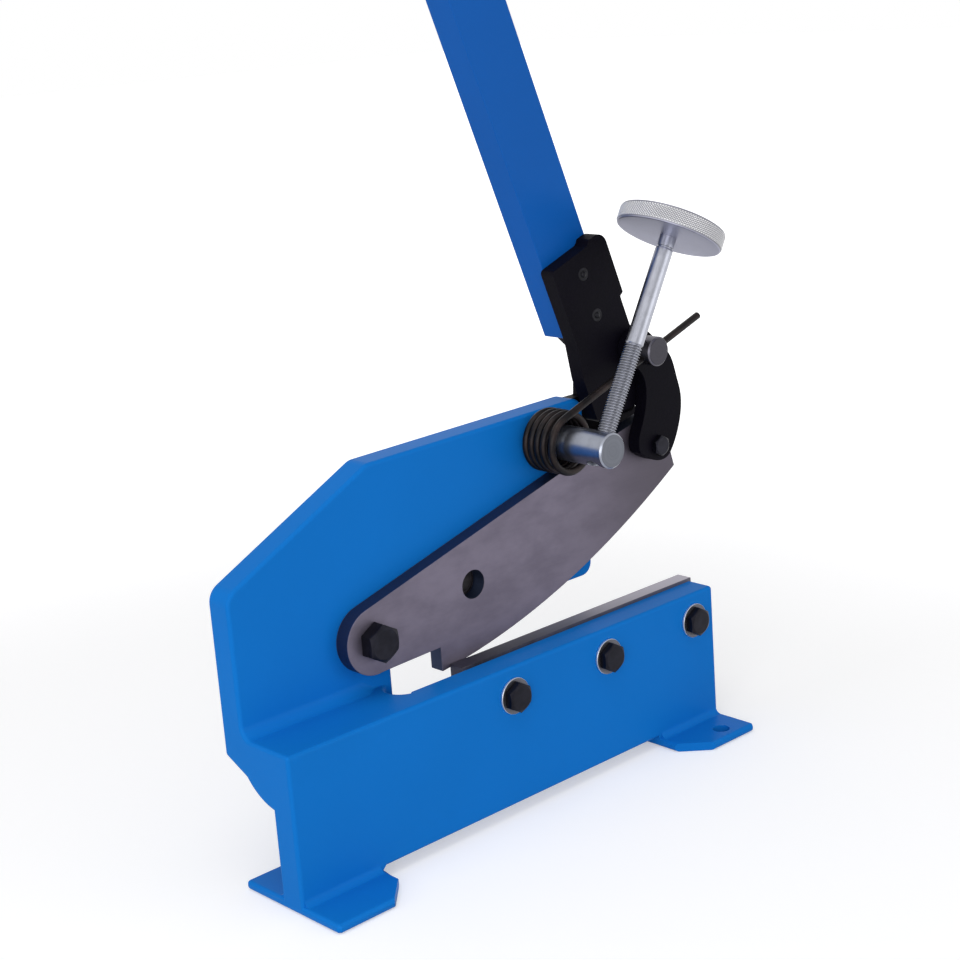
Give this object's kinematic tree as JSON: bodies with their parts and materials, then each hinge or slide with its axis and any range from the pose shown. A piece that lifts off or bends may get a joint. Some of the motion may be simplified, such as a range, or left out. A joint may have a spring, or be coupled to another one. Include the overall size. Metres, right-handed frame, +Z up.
{
  "type": "hand lever shear",
  "caption": "Bench-mounted hand lever shear: bowed upper blade worked by a long lever through a link, fixed lower blade, screw hold-down and return spring",
  "frame": {"origin": "on the bench under the middle of the left foot and the mid-plane of the beam", "axes": "+X along the bed toward the cutting tip and the lever, -Y the working side, +Z up"},
  "size_m": [0.3895, 0.1319, 0.7922],
  "materials": {
    "blue_gloss_paint": "gloss enamel",
    "black_paint": "satin black enamel over forged steel",
    "blade_steel": "ground tool steel, oiled",
    "bright_steel": "bright zinc or ground steel",
    "black_steel": "black oxide",
    "spring_steel": "oiled spring wire",
    "plain_steel": "turned steel"
  },
  "bodies": {
    "frame": {"bed_beam": "blue_gloss_paint", "left_foot": "blue_gloss_paint", "right_foot": "blue_gloss_paint", "joining_block": "blue_gloss_paint", "frame_plate": "blue_gloss_paint", "lower_blade": "blade_steel", "blade_washer_left": "bright_steel", "blade_washer_middle": "bright_steel", "blade_washer_right": "bright_steel", "blade_bolt_left": "black_steel", "blade_bolt_middle": "black_steel", "blade_bolt_right": "black_steel", "pivot_bolt": "black_steel", "pivot_washer": "black_steel", "pivot_nut": "black_steel", "rod_bush": "blade_steel", "return_spring": "spring_steel"},
    "upper_blade": {"upper_blade": "blade_steel"},
    "lever": {"handle_bar": "blue_gloss_paint", "handle_socket": "black_paint", "pivot_arm": "black_paint", "socket_screw_upper": "black_steel", "socket_screw_lower": "black_steel", "link_stud": "plain_steel", "spring_leg": "spring_steel"},
    "link": {"crescent_link": "black_paint", "link_bolt": "black_steel", "link_washer": "black_steel", "link_nut": "black_steel"},
    "shaft": {"fulcrum_shaft": "bright_steel", "shaft_nut": "black_steel"},
    "hold_down": {"hold_down_screw": "bright_steel", "hold_down_wheel": "bright_steel"}
  },
  "joints": [
    {"name": "lever_pull", "type": "hinge", "parent": "frame", "child": "lever", "pos_m": [0.2292, 0.044, 0.2286], "axis": [0, 1, 0], "range_deg": [0, 50], "stiffness_Nm_per_rad": 10, "springref_deg": -22.92},
    {"name": "blade_swing", "type": "hinge", "parent": "frame", "child": "upper_blade", "pos_m": [0.066, 0.028, 0.137], "axis": [0, 1, 0], "range_deg": [0, 17.1]},
    {"name": "link_swing", "type": "hinge", "parent": "lever", "child": "link", "pos_m": [0.3075, 0.017, 0.2763], "axis": [0, 1, 0], "range_deg": [-47.4, 0]},
    {"name": "shaft_turn", "type": "hinge", "parent": "frame", "child": "shaft", "pos_m": [0.2292, 0.02, 0.2286], "axis": [0, 1, 0], "range_deg": [-60, 8]},
    {"name": "hold_down_feed", "type": "slide", "parent": "shaft", "child": "hold_down", "axis": [-0.5045, 0, -0.8634], "range_m": [0, 0.04]}
  ],
  "couplings": [
    {"joint": "blade_swing", "follows": "lever_pull", "ratio": 0.3413},
    {"joint": "link_swing", "follows": "lever_pull", "ratio": -0.9469}
  ]
}
